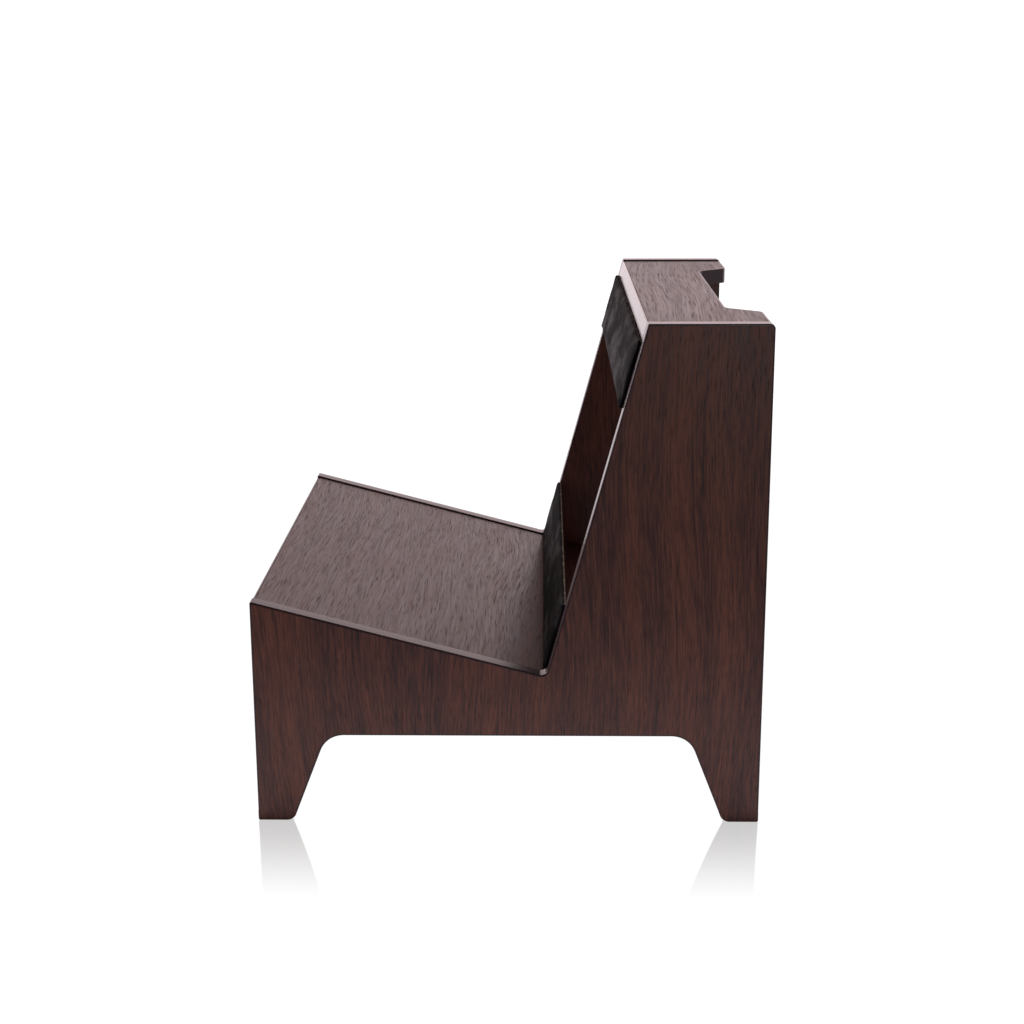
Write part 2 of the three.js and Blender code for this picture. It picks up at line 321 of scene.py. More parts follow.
def new_material(name):
    """An empty node material and its tree."""
    material = bpy.data.materials.new(name)
    material.use_nodes = True
    material.node_tree.nodes.clear()
    return material, material.node_tree


def object_axes(tree):
    """The X, Y and Z sockets of the piece's own coordinates."""
    return add(tree, SPLIT, None, [add(tree, COORDS)["Object"]])


def cloud(tree, axes, sizes, seed, detail=0.0, roughness=0.5):
    """Noise whose cells measure sizes, in metres, along the two or three given axis sockets."""
    scaled = [add(tree, MATH, PRODUCT, (axis, 1 / size))[0] for axis, size in zip(axes, sizes)]
    third = add(tree, MATH, SUM, (scaled[2], seed))[0] if len(scaled) > 2 else seed
    place = add(tree, "ShaderNodeCombineXYZ", None, (scaled[0], scaled[1], third))[0]
    settings = {"Vector": place, "Scale": 1.0, "Detail": detail, "Roughness": roughness}
    return add(tree, "ShaderNodeTexNoise", None, settings)["Fac"]


def painted(tree, share, under, over):
    """The colour under, covered by the colour over as far as share says."""
    return add(tree, MIX, IN_COLOUR, {0: share, 6: under, 7: over})[2]


def rgba(colour):
    """A colour property as a socket takes it."""
    return (*colour, 1.0)


def finish_material(material, tree, surface):
    """Joins the surface to the material's output."""
    add(tree, "ShaderNodeOutputMaterial", None, {"Surface": surface})
    return material


class Grain(NamedTuple):
    """One layer of the printed grain: its cells, its noise, and the marks that are made of it."""

    across: float
    along: float
    seed: float
    detail: float = 1.0
    roughness: float = 0.5
    begins: float = 0.0
    full: float = 1.0
    strength: float = 1.0


# Real pores and fibres are about three times finer: these are as coarse as they need to be to show.
WANDER = Grain(100 * MM, 300 * MM, 3.1, strength=30 * MM)
BANDS = Grain(22 * MM, 750 * MM, 0.0, 5.0, 0.62, strength=0.60)
FIBRE = Grain(1 * MM, 22 * MM, 7.7, 2.0, 0.6, strength=0.60)
HAIRS = Grain(0.7 * MM, 13 * MM, 17.1, begins=0.56, full=0.72, strength=0.45)
PORES = Grain(0.6 * MM, 9 * MM, 13.3, begins=0.54, full=0.72, strength=0.50)
VESSELS = Grain(2 * MM, 90 * MM, 21.9, begins=0.60, full=0.74, strength=0.45)
MINERAL = Grain(13 * MM, 110 * MM, 31.7, 3.0, 0.6, begins=0.60, full=0.80, strength=0.45)
PRINT_TONE = (0.42, 0.80)
PORE_NARROWING = 0.3
LEAN_SPAN = (-0.15, -0.02)
PLATE_ROUGHNESS = 0.22
PORE_DULLNESS = 0.18
FIBRE_DULLNESS = 0.34
FIBRE_HEIGHT = 0.35
PLATE_RELIEF = {"Strength": 0.2, "Distance": 0.03 * MM}
RESIN_IOR = 1.5
RESIN_SPECULAR = 0.5


def laminate(name, across, along, seed, lean=0.0, stretch=1.0):
    """Melamine laminate printed with walnut grain and pressed on a satin plate.

    The print gives fine long fibres, short dark pores and slow dark bands. The plate leaves the fibres and
    pores a little dull and sunk, so that they also show where the board shines.
    """
    colours = bpy.context.scene.album_stand.colours
    material, tree = new_material(name)
    axes = object_axes(tree)
    u, v = axes[across], axes[along]

    def noise(layer, wider=1.0, longer=1.0):
        cells = (layer.across * wider, layer.along * longer)
        return cloud(tree, (u, v), cells, seed + layer.seed, layer.detail, layer.roughness)

    def marks(layer, wider=1.0, longer=1.0):
        return add(tree, RAMP, EASED, (noise(layer, wider, longer), layer.begins, layer.full))[0]

    def printed(colour, shown, layer, ink):
        return painted(tree, add(tree, MATH, PRODUCT, (shown, layer.strength))[0], colour, rgba(ink))

    offset = add(tree, MATH, DIFFERENCE, (noise(WANDER), NOISE_MIDDLE))[0]
    drift = add(tree, MATH, PRODUCT, (offset, WANDER.strength))[0]
    u = add(tree, MATH, SUM, (u, drift))[0]
    if lean:
        front = add(tree, RAMP, EASED, (axes[across], *LEAN_SPAN, lean, 0.0))[0]
        u = add(tree, MATH, SUM, (u, add(tree, MATH, PRODUCT, (front, v))[0]))[0]
    bands = add(tree, MATH, PRODUCT, (noise(BANDS), BANDS.strength))[0]
    fibre = noise(FIBRE, longer=stretch)
    hairs = marks(HAIRS, longer=stretch)
    pores = marks(PORES, 1 / stretch**PORE_NARROWING, stretch)
    tone = add(tree, MATH, SUM, (bands, add(tree, MATH, PRODUCT, (fibre, FIBRE.strength))[0]))[0]
    light = add(tree, RAMP, EASED, (tone, *PRINT_TONE))[0]
    colour = painted(tree, light, rgba(colours.board_dark), rgba(colours.board_light))
    colour = printed(colour, hairs, HAIRS, colours.board_light)
    colour = printed(colour, marks(MINERAL), MINERAL, colours.board_pore)
    colour = printed(colour, marks(VESSELS), VESSELS, colours.board_pore)
    colour = printed(colour, pores, PORES, colours.board_pore)
    dull_pores = add(tree, MATH, PRODUCT, (pores, PORE_DULLNESS))[0]
    dull_fibre = add(tree, MATH, PRODUCT, (fibre, FIBRE_DULLNESS))[0]
    dull = add(tree, MATH, SUM, (dull_pores, dull_fibre))[0]
    raised = add(tree, MATH, PRODUCT, (fibre, FIBRE_HEIGHT))[0]
    height = add(tree, MATH, DIFFERENCE, (raised, pores))[0]
    finish = {
        "Base Color": colour,
        "Roughness": add(tree, MATH, SUM, (dull, PLATE_ROUGHNESS))[0],
        "IOR": RESIN_IOR,
        "Specular IOR Level": RESIN_SPECULAR,
        "Normal": add(tree, BUMP, None, {**PLATE_RELIEF, "Height": height})[0],
    }
    return finish_material(material, tree, add(tree, SHADER, None, finish)[0])


STREAK_ACROSS = 1.3 * MM
STREAK_ALONG = 110 * MM
STREAK_TONE = (0.35, 0.65)
HANDLED_PATCH = 30 * MM
HANDLED_DULLNESS = 0.04
PANEL_ROUGHNESS = 0.22
BOARD_ROUGHNESS = 0.26
FRONT_ROUGHNESS = 0.10


def edge_band(name, across, seed, roughness):
    """ABS edging, extruded and scraped: smooth, a little glossy, with faint printed streaks along its run."""
    colours = bpy.context.scene.album_stand.colours
    material, tree = new_material(name)
    axes = object_axes(tree)
    sizes = [STREAK_ACROSS if i == across else STREAK_ALONG for i in range(3)]
    streak = add(tree, RAMP, EASED, (cloud(tree, axes, sizes, seed, 2.0, 0.6), *STREAK_TONE))[0]
    handling = cloud(tree, axes, [HANDLED_PATCH] * 3, seed + 5.0, 3.0)
    dulled = add(tree, MATH, PRODUCT, (handling, HANDLED_DULLNESS))[0]
    finish = {
        "Base Color": painted(tree, streak, rgba(colours.edging_streak), rgba(colours.edging)),
        "Roughness": add(tree, MATH, SUM, (dulled, roughness))[0],
        "IOR": RESIN_IOR,
    }
    return finish_material(material, tree, add(tree, SHADER, None, finish)[0])


PEBBLE = 0.9 * MM
PEBBLE_SOFTNESS = 0.6
RUBBED_PATCH = (45 * MM, 18 * MM, 16 * MM)
RUBBED_TONE = (0.42, 0.70)
GRIT = 1.2 * MM
GRIT_TONE = (0.30, 0.62, 0.5, 1.0)
UNRUBBED_BY_FRAY = (0.02, 0.12, 1.0, 0.0)
CUT_LINE = (0.20, 0.50, 0.0, 0.50)
FLECK = (4.5 * MM, 1.5 * MM, 1.5 * MM)
FLECK_TONE = (0.55, 0.62)
FLECKED_BY_FRAY = (0.10, 0.30)
PEBBLE_HEIGHT = -0.7
GRIT_HEIGHT = 0.3
COVER_RELIEF = {"Strength": 0.5, "Distance": 0.12 * MM}
COVER_ROUGHNESS = 0.72
SCUFF_ROUGHNESS = -0.16
COVER_SPECULAR = 0.02
SCUFF_SPECULAR = 0.05
COVER_IOR = 1.48


def pad_cover(name, seed):
    """Black bonded leather, rolled and glued.

    It is dull and finely pebbled, with rubbed grey patches, and pale backing shows along a frayed cut edge.
    """
    colours = bpy.context.scene.album_stand.colours
    material, tree = new_material(name)
    axes = object_axes(tree)
    place = add(tree, COORDS)["Object"]
    cells = {"Vector": place, "Scale": 1 / PEBBLE, "Smoothness": PEBBLE_SOFTNESS}
    pebble = add(tree, "ShaderNodeTexVoronoi", {"feature": "SMOOTH_F1"}, cells)["Distance"]
    grit = cloud(tree, axes, [GRIT] * 3, seed + 4.0, 2.0)
    fray = add(tree, "ShaderNodeAttribute", {"attribute_name": "fray"})["Fac"]
    rubbed = add(tree, RAMP, EASED, (cloud(tree, axes, RUBBED_PATCH, seed, 4.0, 0.60), *RUBBED_TONE))[0]
    broken = add(tree, RAMP, EASED, (grit, *GRIT_TONE))[0]
    scuff = add(tree, MATH, PRODUCT, (rubbed, broken))[0]
    scuff = add(tree, MATH, PRODUCT, (scuff, add(tree, RAMP, EASED, (fray, *UNRUBBED_BY_FRAY))[0]))[0]
    colour = painted(tree, scuff, rgba(colours.cover), rgba(colours.cover_scuff))
    cut_line = add(tree, RAMP, EASED, (fray, *CUT_LINE))[0]
    colour = painted(tree, cut_line, colour, rgba(colours.backing))
    fleck = add(tree, RAMP, EASED, (cloud(tree, axes, FLECK, seed + 9.0, 2.0, 0.7), *FLECK_TONE))[0]
    frayed = add(tree, MATH, PRODUCT, (fleck, add(tree, RAMP, EASED, (fray, *FLECKED_BY_FRAY))[0]))[0]
    colour = painted(tree, frayed, colour, rgba(colours.backing))
    pebbled = add(tree, MATH, PRODUCT, (pebble, PEBBLE_HEIGHT))[0]
    gritty = add(tree, MATH, PRODUCT, (grit, GRIT_HEIGHT))[0]
    height = add(tree, MATH, SUM, (pebbled, gritty))[0]
    worn_smooth = add(tree, MATH, PRODUCT, (scuff, SCUFF_ROUGHNESS))[0]
    worn_bright = add(tree, MATH, PRODUCT, (scuff, SCUFF_SPECULAR))[0]
    finish = {
        "Base Color": colour,
        "Roughness": add(tree, MATH, SUM, (worn_smooth, COVER_ROUGHNESS))[0],
        "IOR": COVER_IOR,
        "Specular IOR Level": add(tree, MATH, SUM, (worn_bright, COVER_SPECULAR))[0],
        "Normal": add(tree, BUMP, None, {**COVER_RELIEF, "Height": height})[0],
    }
    return finish_material(material, tree, add(tree, SHADER, None, finish)[0])


PRESSED_FIBRE = [1.6 * MM] * 3
TURNED_GRAIN = (12 * MM, 0.9 * MM, 0.9 * MM)
FIBRE_TONE = (0.32, 0.68)
BARE_RELIEF = {"Strength": 0.3, "Distance": 0.06 * MM}
BARE_ROUGHNESS = 0.68
BARE_DULLNESS = 0.15


def bare_wood(name, colour, sizes, seed, depth):
    """Bare fibre, turned or pressed and left unfinished: matt, with fibres of the given cell sizes."""
    material, tree = new_material(name)
    fibre = cloud(tree, object_axes(tree), sizes, seed, 3.0, 0.65)
    dark = tuple(c * depth for c in colour)
    light = add(tree, RAMP, EASED, (fibre, *FIBRE_TONE))[0]
    dull = add(tree, MATH, PRODUCT, (fibre, BARE_DULLNESS))[0]
    finish = {
        "Base Color": painted(tree, light, rgba(dark), rgba(colour)),
        "Roughness": add(tree, MATH, SUM, (dull, BARE_ROUGHNESS))[0],
        "IOR": RESIN_IOR,
        "Normal": add(tree, BUMP, None, {**BARE_RELIEF, "Height": fibre})[0],
    }
    return finish_material(material, tree, add(tree, SHADER, None, finish)[0])


# ---------------------------------------------------------------- meshes


def dress(name, material):
    """Gives a CAD node a material."""
    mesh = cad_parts[name].data
    mesh.materials.clear()
    mesh.materials.append(material)


def new_piece(name, bm, material, replaced):
    """Makes an object from a bmesh, in place, on the stand's one body."""
    mesh = bpy.data.meshes.new(name)
    bm.to_mesh(mesh)
    bm.free()
    mesh.materials.append(material)
    piece = bpy.data.objects.new(name, mesh)
    bpy.context.scene.collection.objects.link(piece)
    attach(piece, "root")
    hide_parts(replaced)
    return piece


def merged_copy(node):
    """A CAD node's loose triangles as one welded mesh of flat faces."""
    bm = bmesh.new()
    bm.from_mesh(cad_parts[node].data)
    bmesh.ops.remove_doubles(bm, verts=bm.verts, dist=WELD)
    bmesh.ops.dissolve_limit(
        bm,
        angle_limit=FLAT,
        use_dissolve_boundaries=False,
        verts=bm.verts,
        edges=bm.edges,
        delimit=set(),
    )
    return bm


def rounded_board(name, node, material, arris, segments, chosen):
    """The node's own shape with its chosen corners rounded, and its flat faces shaded as flat."""
    bm = merged_copy(node)
    sharp = [e for e in bm.edges if len(e.link_faces) == 2 and e.calc_face_angle() > CORNER and chosen(e)]
    bmesh.ops.bevel(
        bm,
        geom=sharp,
        offset=arris,
        segments=segments,
        profile=0.5,
        affect="EDGES",
        material=-1,
        clamp_overlap=True,
        harden_normals=False,
    )
    bmesh.ops.recalc_face_normals(bm, faces=bm.faces)
    piece = new_piece(name, bm, material, node)
    piece.data.shade_smooth()
    piece.data.set_sharp_from_angle(angle=BOARD_SHARP)
    evened = piece.modifiers.new("evened", "WEIGHTED_NORMAL")
    evened.weight = EVEN_WEIGHT
    evened.keep_sharp = True
    return piece


def backrest_frame(node):
    """The turn from the backrest's own axes to the stand's, and the node's extreme corners in the former."""
    turn = Matrix.Rotation(-BACKREST_LEAN, 3, "X")
    inside = [turn.transposed() @ v.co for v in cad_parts[node].data.vertices]
    low = Vector([min(p[i] for p in inside) for i in range(3)])
    high = Vector([max(p[i] for p in inside) for i in range(3)])
    return turn, low, high


def cut_evenly(bm, axis, low, high, cell):
    """Cuts the mesh into even slices along one axis."""
    count = max(2, round((high - low) / cell))
    normal = [0.0, 0.0, 0.0]
    normal[axis] = 1.0
    for i in range(1, count):
        point = [0.0, 0.0, 0.0]
        point[axis] = low + (high - low) * i / count
        geom = list(bm.verts) + list(bm.edges) + list(bm.faces)
        bmesh.ops.bisect_plane(bm, geom=geom, dist=SLICE_TOLERANCE, plane_co=point, plane_no=normal)


def settle_cover(piece, pinned, cap, frames):
    """Lets the cover swell as cloth with its back held, and keeps each point within cap of where it began."""
    rest = [v.co.copy() for v in piece.data.vertices]
    group = piece.vertex_groups.new(name="glued")
    group.add(pinned, 1.0, "REPLACE")
    cloth = piece.modifiers.new("cover", "CLOTH")
    cloth.settings.vertex_group_mass = group.name
    cloth.settings.use_pressure = True
    cloth.settings.uniform_pressure_force = COVER_PRESSURE
    cloth.settings.effector_weights.gravity = 0.0
    cloth.settings.quality = COVER_QUALITY
    cloth.settings.tension_stiffness = COVER_STRETCH
    cloth.settings.compression_stiffness = COVER_STRETCH
    cloth.settings.bending_stiffness = COVER_BENDING
    scene = bpy.context.scene
    for number in range(1, frames + 1):
        scene.frame_set(number)
    settled = piece.evaluated_get(bpy.context.evaluated_depsgraph_get())
    moved = [v.co.copy() for v in settled.data.vertices]
    piece.modifiers.remove(cloth)
    piece.vertex_groups.remove(group)
    scene.frame_set(1)
    for vertex, start, end in zip(piece.data.vertices, rest, moved):
        step = end - start
        if step.length > cap:
            step *= cap / step.length
        vertex.co = start + step


def covered_pad(name, node, material):
    """A slat folded into its covering: rounded folds, a slight crown, and a frayed edge along its top."""
    sizes = bpy.context.scene.album_stand.sizes
    turn, low, high = backrest_frame(node)
    swell = sizes.pad_swell
    front = low.y + swell * CROWN_SHARE
    bm = bmesh.new()
    bmesh.ops.create_cube(bm, size=1.0)
    span = Vector((high.x - low.x, high.y - front, high.z - low.z))
    middle = Vector(((high.x + low.x) / 2, (high.y + front) / 2, (high.z + low.z) / 2))
    bmesh.ops.scale(bm, vec=span, verts=bm.verts)
    bmesh.ops.translate(bm, vec=middle, verts=bm.verts)
    folds = []
    for edge in bm.edges:
        depths = [v.co.y for v in edge.verts]
        if max(depths) < middle.y or max(depths) - min(depths) > span.y / 2:
            folds.append(edge)
    bmesh.ops.bevel(
        bm,
        geom=folds,
        offset=sizes.pad_arris,
        segments=FOLD_SEGMENTS,
        profile=0.5,
        affect="EDGES",
        material=-1,
        clamp_overlap=True,
    )
    cut_evenly(bm, 0, low.x, high.x, sizes.pad_cell)
    cut_evenly(bm, 2, low.z, high.z, sizes.pad_cell)
    piece = new_piece(name, bm, material, node)
    mesh = piece.data
    back = high.y - GLUED_SHARE * span.y
    pinned = [v.index for v in mesh.vertices if v.co.y > back]
    settle_cover(piece, pinned, swell, sizes.settle_frames)
    fray = mesh.attributes.new("fray", "FLOAT", "POINT")
    for vertex in mesh.vertices:
        from_top = high.z - vertex.co.z
        from_back = high.y - vertex.co.y
        from_end = high.x - vertex.co.x
        is_frayed = from_top < FRAY_DOWN and (from_back < FRAY_BACK or from_end < FRAY_END)
        fray.data[vertex.index].value = 1.0 if is_frayed else 0.0
    mesh.transform(turn.to_4x4())
    mesh.shade_smooth()
    mesh.set_sharp_from_angle(angle=PAD_SHARP)
    finer = piece.modifiers.new("finer", "SUBSURF")
    finer.levels = 1
    finer.render_levels = 1
    return piece


# ---------------------------------------------------------------- operators


PANEL_GRAIN_LEAN = 0.10
SEAT_STRETCH = 1.8
TOP_STRETCH = 3.0
RAIL_STRETCH = 1.8


class AlbumStandPanels(bpy.types.Operator):
    """Finish the two side panels in walnut-printed laminate with upright grain."""

    bl_idname = "album_stand.side_panels"
    bl_label = "Side Panels"

    def execute(self, context):
        for number, side in enumerate(SIDES):
            name = f"walnut melamine laminate, pressed satin, {side} panel"
            material = laminate(name, 1, 2, 2.0 + 11.0 * number, lean=PANEL_GRAIN_LEAN)
            dress(f"{side}_side_panel", material)
        return {"FINISHED"}


class AlbumStandBoards(bpy.types.Operator):
    """Make the seat board, top board, upper rail and lower batten, with softened edges and grain across."""

    bl_idname = "album_stand.boards"
    bl_label = "Boards"

    def execute(self, context):
        sizes = context.scene.album_stand.sizes
        seat = laminate("walnut melamine laminate, pressed satin, seat", 1, 0, 40.0, stretch=SEAT_STRETCH)
        top = laminate("walnut melamine laminate, pressed satin, top", 1, 0, 52.0, stretch=TOP_STRETCH)
        rail = laminate("walnut melamine laminate, pressed satin, rails", 2, 0, 64.0, stretch=RAIL_STRETCH)
        finishes = {"seat_board": seat, "top_board": top, "upper_back_rail": rail, "lower_pad_batten": rail}
        for node, material in finishes.items():
            rounded_board(
                f"{node}_finished",
                node,
                material,
                sizes.board_arris,
                BOARD_SEGMENTS,
                lambda edge: edge.calc_length() > LONG_EDGE,
            )
        return {"FINISHED"}


class AlbumStandEdging(bpy.types.Operator):
    """Make the edging strips with their scraped, rounded arrises."""

    bl_idname = "album_stand.edging"
    bl_label = "Edging"

    def execute(self, context):
        arris = context.scene.album_stand.sizes.edging_arris
        side_band = edge_band("ABS edging, extruded and scraped, panels", 0, 5.0, PANEL_ROUGHNESS)
        cross_band = edge_band("ABS edging, extruded and scraped, boards", 2, 9.0, BOARD_ROUGHNESS)
        front_name = "ABS edging, extruded and buffed, top board's front"
        front_band = edge_band(front_name, 2, 12.0, FRONT_ROUGHNESS)
        for side in SIDES:
            for strip in ("outer", "arch"):
                node = f"{side}_{strip}_edging"
                rounded_board(
                    f"{node}_finished",
                    node,
                    side_band,
                    arris,
                    EDGING_SEGMENTS,
                    outer_arris(f"{side}_side_panel"),
                )
        strips = {
            "seat_front_edging": cross_band,
            "top_front_edging": front_band,
            "top_rear_edging": cross_band,
        }
        for node, material in strips.items():
            rounded_board(
                f"{node}_finished",
                node,
                material,
                STRIP_ARRIS,
                BOARD_SEGMENTS,
                lambda edge: edge.calc_length() > STRIP_EDGE,
            )
        return {"FINISHED"}


def outer_arris(panel):
    """Picks the edges that run round a strip on its open side, away from the panel that it is glued to."""
    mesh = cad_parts[panel].data
    core = BVHTree.FromPolygons([v.co for v in mesh.vertices], [list(f.vertices) for f in mesh.polygons])
    low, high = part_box(panel)

    def is_outer(edge):
        if abs(edge.verts[0].co.x - edge.verts[1].co.x) > SAME_PLACE:
            return False
        run = min((f.normal for f in edge.link_faces), key=lambda n: abs(n.x))
        middle = (edge.verts[0].co + edge.verts[1].co) / 2
        middle.x = (low.x + high.x) / 2
        return core.ray_cast(middle, run, PANEL_REACH)[0] is None

    return is_outer


class AlbumStandPads(bpy.types.Operator):
    """Make the two covered pads."""

    bl_idname = "album_stand.pads"
    bl_label = "Pads"

    def execute(self, context):
        for number, level in enumerate(LEVELS):
            material = pad_cover(f"black bonded leather, rolled and glued, {level} pad", 3.0 + 8.0 * number)
            covered_pad(f"{level}_covered_pad", f"{level}_pad_cover", material)
        return {"FINISHED"}


class AlbumStandHidden(bpy.types.Operator):
    """Finish the slats inside the pads and the dowels inside the joints."""

    bl_idname = "album_stand.hidden_parts"
    bl_label = "Slats and Dowels"

    def execute(self, context):
        colours = context.scene.album_stand.colours
        slat = bare_wood("hardboard, hot pressed, bare", colours.hardboard, PRESSED_FIBRE, 70.0, 0.6)
        beech = bare_wood("beech, turned and fluted, bare", colours.beech, TURNED_GRAIN, 80.0, 0.72)
        for level in LEVELS:
            dress(f"{level}_pad_slat", slat)
        for side in SIDES:
            for board in DOWELLED:
                for number in DOWEL_NUMBERS:
                    dress(f"{side}_{board}_dowel_{number}", beech)
        return {"FINISHED"}


SENSOR_WIDTH = 36.0
LAMP_AIM = Vector((0, 0, 0.15))
SMALL_BOX = 0.3
LARGE_BOX = 1.0
REAR_SHARE = 0.25

# The surround as the stand reflects it. Each band is of one axis of a direction: where it starts, where it
# ends, and its brightness at both.
BACKDROP_BEHIND = (0.0, -0.3)
BACKDROP_CENTRE = (0.60, 0.42)
BACKDROP_LOW = (0.12, 0.34, 1.0, 0.78)
BACKDROP_HIGH = (0.42, 0.78)
BACKDROP_TOP = 0.1
WINGS = (0.50, 0.85, 0.02, 0.16)
SURROUND_TINT = "#FFE7E9"

# The floor as the stand reflects it, in metres along X or Y from the stand's middle, in the same way.
FLOOR_HALF = 30.0
FLOOR_CELLS = 4
FLOOR_BEHIND = (-0.4, -0.9, 0.0, 1.15)
FLOOR_BEFORE = (0.155, 0.175)
FLOOR_BEYOND = (0.46, 0.34, 0.0, 0.72)
FLOOR_ENDS = (0.35, 0.90, 0.0, 0.22)
FLOOR_TINT = "#FFF2F6"
FLOOR_MATT = (0.2, 0.2, 0.2, 1)
WHITE = "#FFFFFF"

# The patch before each foot where the floor mirrors.
MIRROR_LENGTH = 0.12
MIRROR_START = (-4 * MM, 0.0)
MIRROR_ROUGHNESS = 0.06
MIRROR_EDGE = 0.5 * MM
MIRRORED_RISE = 0.5
MIRRORED_SPREAD = 1.06


class AlbumStandStage(bpy.types.Operator):
    """Make the camera, the white surround, the soft boxes and the pale floor."""

    bl_idname = "album_stand.stage"
    bl_label = "Studio"

    def execute(self, context):
        studio = context.scene.album_stand.studio
        self.place_camera(context, studio)
        self.light_surround(context, studio)
        self.hang_soft_boxes(context, studio)
        self.lay_floor(context, studio)
        context.scene.view_settings.view_transform = "Standard"
        return {"FINISHED"}

    def place_camera(self, context, studio):
        """Yaw, pitch and roll turn the camera from looking straight along -X."""
        yaw, pitch, roll = studio.camera_turn
        ahead = Vector((-math.cos(pitch) * math.cos(yaw), -math.cos(pitch) * math.sin(yaw), -math.sin(pitch)))
        level = ahead.cross(Vector((0, 0, 1))).normalized()
        upright = level.cross(ahead)
        right = math.cos(roll) * level + math.sin(roll) * upright
        up = -math.sin(roll) * level + math.cos(roll) * upright
        turn = Matrix((right, up, -ahead)).transposed()
        data = bpy.data.cameras.new("Camera")
        data.lens = studio.lens
        data.sensor_width = SENSOR_WIDTH
        camera = bpy.data.objects.new("Camera", data)
        camera.matrix_world = Matrix.Translation(Vector(studio.camera_place)) @ turn.to_4x4()
        context.scene.collection.objects.link(camera)
        context.scene.camera = camera

    def light_surround(self, context, studio):
        """White to the camera; to the stand, bright behind it and dim beside it."""
        world = bpy.data.worlds.new("white surround")
        context.scene.world = world
        world.use_nodes = True
        tree = world.node_tree
        tree.nodes.clear()
        direction = add(tree, COORDS)["Generated"]
        x, y, z = add(tree, SPLIT, None, [direction])
        aside = add(tree, MATH, MAGNITUDE, [y])[0]
        behind = add(tree, RAMP, EASED, (x, *BACKDROP_BEHIND))[0]
        centre = add(tree, RAMP, EASED, (aside, *BACKDROP_CENTRE))[0]
        low = add(tree, RAMP, EASED, (z, *BACKDROP_LOW))[0]
        high = add(tree, RAMP, EASED, (z, *BACKDROP_HIGH, studio.surround, BACKDROP_TOP))[0]
        across = add(tree, MATH, PRODUCT, (behind, centre))[0]
        upward = add(tree, MATH, PRODUCT, (low, high))[0]
        backdrop = add(tree, MATH, PRODUCT, (across, upward))[0]
        wings = add(tree, RAMP, EASED, (aside, *WINGS))[0]
        glow = add(tree, MATH, SUM, (backdrop, wings))[0]
        seen = add(tree, PATH)["Is Camera Ray"]
        light = {
            "Color": painted(tree, seen, rgba(linear(SURROUND_TINT)), rgba(linear(WHITE))),
            "Strength": add(tree, MATH, GREATER, (glow, seen))[0],
        }
        background = add(tree, "ShaderNodeBackground", None, light)[0]
        add(tree, "ShaderNodeOutputWorld", None, {"Surface": background})

    def hang_soft_boxes(self, context, studio):
        """A small one at +X lights the near side, a large one the front, and a weaker large one the back."""
        boxes = {
            "key soft box": ((2.2, 0.5, 0.3), SMALL_BOX, studio.key_power),
            "front soft box": ((0.0, -2.0, 0.8), LARGE_BOX, studio.fill_power),
            "rear soft box": ((-0.8, 2.0, 0.8), LARGE_BOX, studio.fill_power * REAR_SHARE),
        }
        for name, (place, size, power) in boxes.items():
            data = bpy.data.lights.new(name, "AREA")
            data.shape = "SQUARE"
            data.size = size
            data.energy = power
            lamp = bpy.data.objects.new(name, data)
            turn = (LAMP_AIM - Vector(place)).to_track_quat("-Z", "Y").to_matrix().to_4x4()
            lamp.matrix_world = Matrix.Translation(Vector(place)) @ turn
            context.scene.collection.objects.link(lamp)

    def lay_floor(self, context, studio):
        """White to the camera; to the stand, lit in parts. It mirrors only in a patch before each foot."""
        bm = bmesh.new()
        bmesh.ops.create_grid(bm, x_segments=FLOOR_CELLS, y_segments=FLOOR_CELLS, size=FLOOR_HALF)
        mesh = bpy.data.meshes.new("floor")
        bm.to_mesh(mesh)
        bm.free()
        material, tree = new_material("white acrylic light table, polished")
        axes = object_axes(tree)
        half_width, half_depth = [(high - low) / 2 for low, high in zip(*cad_bounds)][:2]
        from_middle = add(tree, MATH, MAGNITUDE, [axes["X"]])[0]
        out = add(tree, MATH, DIFFERENCE, (from_middle, half_width))[0]
        fade = add(tree, RAMP, EASED, (out, 0.0, MIRROR_LENGTH, studio.mirror, 0.0))[0]
        share = add(tree, MATH, PRODUCT, (fade, add(tree, RAMP, EASED, (out, *MIRROR_START))[0]))[0]
        share = add(tree, MATH, PRODUCT, (share, self.before_feet(tree, axes, out, half_depth)))[0]
        seen = add(tree, PATH)["Is Camera Ray"]
        backdrop = add(tree, RAMP, EASED, (axes["X"], *FLOOR_BEHIND))[0]
        before = add(tree, RAMP, EASED, (axes["X"], *FLOOR_BEFORE))[0]
        bounce = add(tree, MATH, PRODUCT, (before, add(tree, RAMP, EASED, (axes["X"], *FLOOR_BEYOND))[0]))[0]
        aside = add(tree, MATH, MAGNITUDE, [axes["Y"]])[0]
        ends = add(tree, RAMP, EASED, (aside, *FLOOR_ENDS))[0]
        glow = add(tree, MATH, SUM, (backdrop, ends))[0]
        glow = add(tree, MATH, SUM, (glow, bounce))[0]
        to_camera = rgba(context.scene.album_stand.colours.floor)
        light = {
            "Color": painted(tree, seen, rgba(linear(FLOOR_TINT)), to_camera),
            "Strength": add(tree, MATH, GREATER, (glow, seen))[0],
        }
        lit = add(tree, "ShaderNodeEmission", None, light)[0]
        matt = add(tree, "ShaderNodeBsdfDiffuse", None, {"Color": FLOOR_MATT})[0]
        sheet = add(tree, "ShaderNodeAddShader", None, (lit, matt))[0]
        gloss = {"Color": rgba(linear(WHITE)), "Roughness": MIRROR_ROUGHNESS}
        mirror = add(tree, "ShaderNodeBsdfGlossy", None, gloss)[0]
        surface = add(tree, "ShaderNodeMixShader", None, (share, sheet, mirror))[0]
        mesh.materials.append(finish_material(material, tree, surface))
        floor = bpy.data.objects.new("floor", mesh)
        context.scene.collection.objects.link(floor)

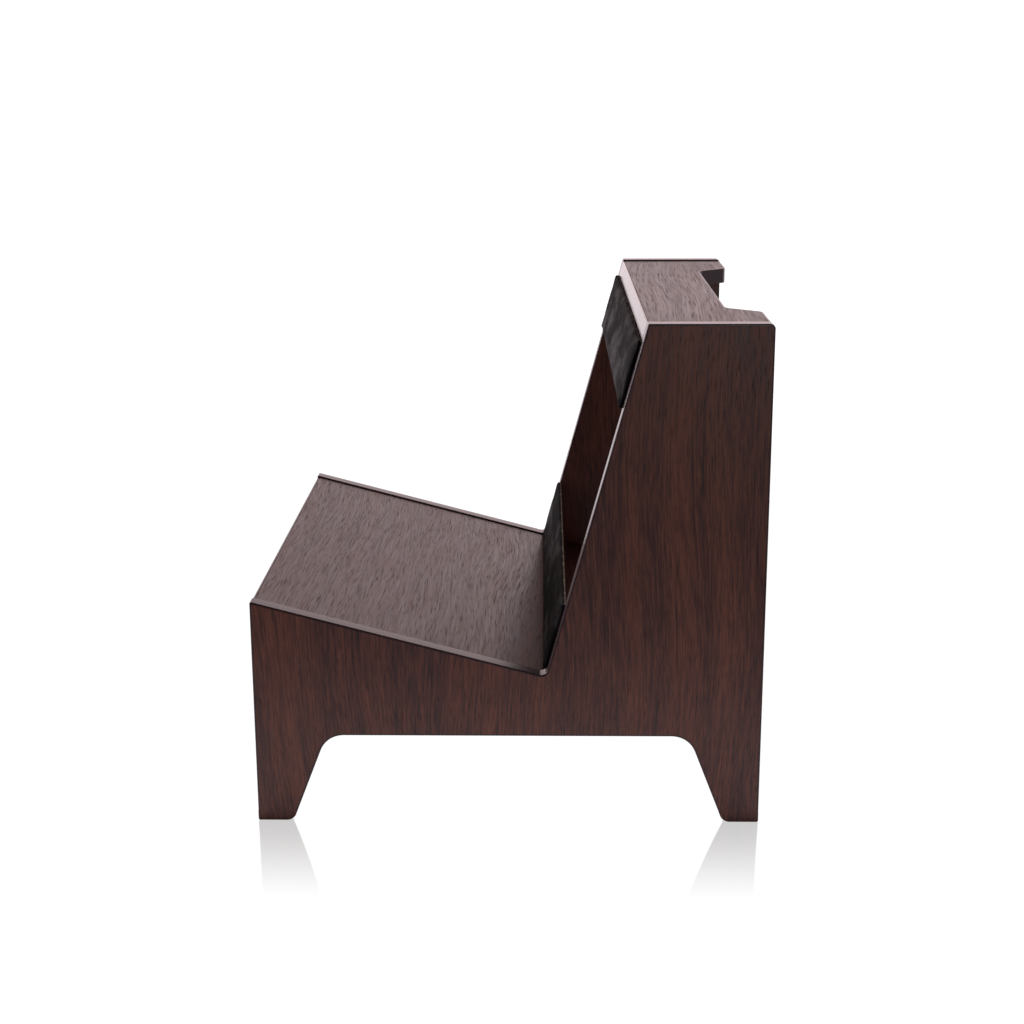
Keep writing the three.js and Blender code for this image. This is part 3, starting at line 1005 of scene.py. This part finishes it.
    def before_feet(self, tree, axes, out, half_depth):
        """One where the floor in front of a side panel mirrors a foot, and nothing between the feet."""
        outward = add(tree, MATH, GREATER, (out, 0.0))[0]
        rise = add(tree, MATH, PRODUCT, (outward, MIRRORED_RISE))[0]
        splay = add(tree, MATH, PRODUCT, (rise, math.tan(LEG_SPLAY)))[0]
        foot = add(tree, MATH, DIFFERENCE, (half_depth - FOOT_LENGTH, splay))[0]
        spread = add(tree, MATH, PRODUCT, (outward, MIRRORED_SPREAD))[0]
        spread = add(tree, MATH, SUM, (spread, 1.0))[0]
        aside = add(tree, MATH, MAGNITUDE, [axes["Y"]])[0]
        across = add(tree, MATH, PRODUCT, (aside, spread))[0]
        from_inner = add(tree, MATH, DIFFERENCE, (across, foot))[0]
        from_outer = add(tree, MATH, DIFFERENCE, (across, half_depth))[0]
        past_inner = add(tree, RAMP, EASED, (from_inner, -MIRROR_EDGE, MIRROR_EDGE))[0]
        short_of_outer = add(tree, RAMP, EASED, (from_outer, MIRROR_EDGE, -MIRROR_EDGE))[0]
        return add(tree, MATH, PRODUCT, (past_inner, short_of_outer))[0]


class AlbumStandPanel(bpy.types.Panel):
    """Lists the stand's steps and settings."""

    bl_idname = "VIEW3D_PT_album_stand"
    bl_label = "Photo Album Stand"
    bl_space_type = "VIEW_3D"
    bl_region_type = "UI"
    bl_category = "Album Stand"

    def draw(self, context):
        for operator in OPERATORS:
            self.layout.operator(operator.bl_idname)
        settings = context.scene.album_stand
        for group in (settings.colours, settings.sizes, settings.studio):
            column = self.layout.column()
            for name in group.__annotations__:
                column.prop(group, name)


GROUPS = (AlbumStandColours, AlbumStandSizes, AlbumStandStudio, AlbumStandSettings)
OPERATORS = (
    AlbumStandStage,
    AlbumStandPanels,
    AlbumStandBoards,
    AlbumStandEdging,
    AlbumStandPads,
    AlbumStandHidden,
)
CLASSES = (*GROUPS, *OPERATORS, AlbumStandPanel)


def register():
    for cls in CLASSES:
        bpy.utils.register_class(cls)
    bpy.types.Scene.album_stand = PointerProperty(type=AlbumStandSettings)


def unregister():
    del bpy.types.Scene.album_stand
    for cls in reversed(CLASSES):
        bpy.utils.unregister_class(cls)


def main():
    register()
    bpy.ops.album_stand.stage()
    bpy.ops.album_stand.side_panels()
    bpy.ops.album_stand.boards()
    bpy.ops.album_stand.edging()
    bpy.ops.album_stand.pads()
    bpy.ops.album_stand.hidden_parts()


if __name__ == "__main__":
    main()
